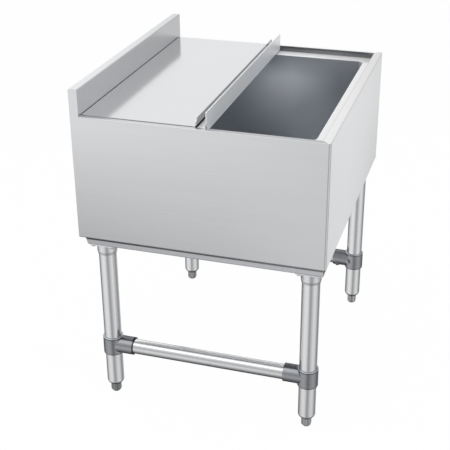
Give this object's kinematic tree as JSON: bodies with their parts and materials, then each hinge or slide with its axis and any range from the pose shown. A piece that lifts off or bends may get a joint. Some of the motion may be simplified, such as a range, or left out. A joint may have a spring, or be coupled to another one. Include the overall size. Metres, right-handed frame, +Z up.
{
  "type": "commercial ice bin",
  "caption": "Free-standing insulated stainless ice bin with a backsplash, sliding lids, a drained well and tubular legs on levelling feet.",
  "frame": {"origin": "on the floor, under the middle of the body's footprint", "axes": "+Z up; the front faces -Y and the backsplash is at +Y; the left end faces -X"},
  "size_m": [0.6096, 0.5334, 0.7366],
  "materials": {
    "stainless_sheet": "satin",
    "galvanised_sheet": "satin",
    "galvanised_tube": "satin",
    "cast_zinc": "satin",
    "clamp_casting": "matte",
    "foot_metal": "matte",
    "zinc_fastener": "satin",
    "drain_steel": "satin",
    "gasket_rubber": "matte",
    "foam_board": "matte"
  },
  "bodies": {
    "body": {"front_panel": "stainless_sheet", "left_end_panel": "stainless_sheet", "right_end_panel": "stainless_sheet", "backsplash": "stainless_sheet", "ice_liner": "stainless_sheet", "rear_panel": "galvanised_sheet", "bottom_panel": "galvanised_sheet", "left_leg_channel": "galvanised_sheet", "right_leg_channel": "galvanised_sheet", "insulation_front": "foam_board", "insulation_rear": "foam_board", "insulation_left": "foam_board", "insulation_right": "foam_board", "insulation_bottom": "foam_board", "front_left_leg_socket": "cast_zinc", "front_left_leg_tube": "galvanised_tube", "front_left_foot_insert": "cast_zinc", "front_left_tee_clamp": "clamp_casting", "front_right_leg_socket": "cast_zinc", "front_right_leg_tube": "galvanised_tube", "front_right_foot_insert": "cast_zinc", "front_right_tee_clamp": "clamp_casting", "rear_left_leg_socket": "cast_zinc", "rear_left_leg_tube": "galvanised_tube", "rear_left_foot_insert": "cast_zinc", "rear_left_tee_clamp": "clamp_casting", "rear_right_leg_socket": "cast_zinc", "rear_right_leg_tube": "galvanised_tube", "rear_right_foot_insert": "cast_zinc", "rear_right_tee_clamp": "clamp_casting", "left_side_rail": "galvanised_tube", "right_side_rail": "galvanised_tube", "socket_bolts": "zinc_fastener", "socket_nuts": "zinc_fastener", "socket_set_screws": "zinc_fastener", "clamp_set_screws": "zinc_fastener", "drain_body": "drain_steel", "drain_strainer": "drain_steel", "drain_locknut": "drain_steel", "drain_gasket": "gasket_rubber"},
    "rear_lid": {"rear_lid": "stainless_sheet"},
    "front_lid": {"front_lid": "stainless_sheet"},
    "front_left_foot": {"front_left_levelling_foot": "foot_metal"},
    "front_right_foot": {"front_right_levelling_foot": "foot_metal"},
    "rear_left_foot": {"rear_left_levelling_foot": "foot_metal"},
    "rear_right_foot": {"rear_right_levelling_foot": "foot_metal"}
  },
  "joints": [
    {"name": "front_lid_slide", "type": "slide", "parent": "body", "child": "front_lid", "axis": [0, -1, 0], "range_m": [0, 0.23]},
    {"name": "rear_lid_slide", "type": "slide", "parent": "body", "child": "rear_lid", "axis": [0, -1, 0], "range_m": [0, 0.0175]},
    {"name": "front_left_foot_screw", "type": "slide", "parent": "body", "child": "front_left_foot", "axis": [0, 0, -1], "range_m": [0, 0.025]},
    {"name": "front_right_foot_screw", "type": "slide", "parent": "body", "child": "front_right_foot", "axis": [0, 0, -1], "range_m": [0, 0.025]},
    {"name": "rear_left_foot_screw", "type": "slide", "parent": "body", "child": "rear_left_foot", "axis": [0, 0, -1], "range_m": [0, 0.025]},
    {"name": "rear_right_foot_screw", "type": "slide", "parent": "body", "child": "rear_right_foot", "axis": [0, 0, -1], "range_m": [0, 0.025]}
  ]
}
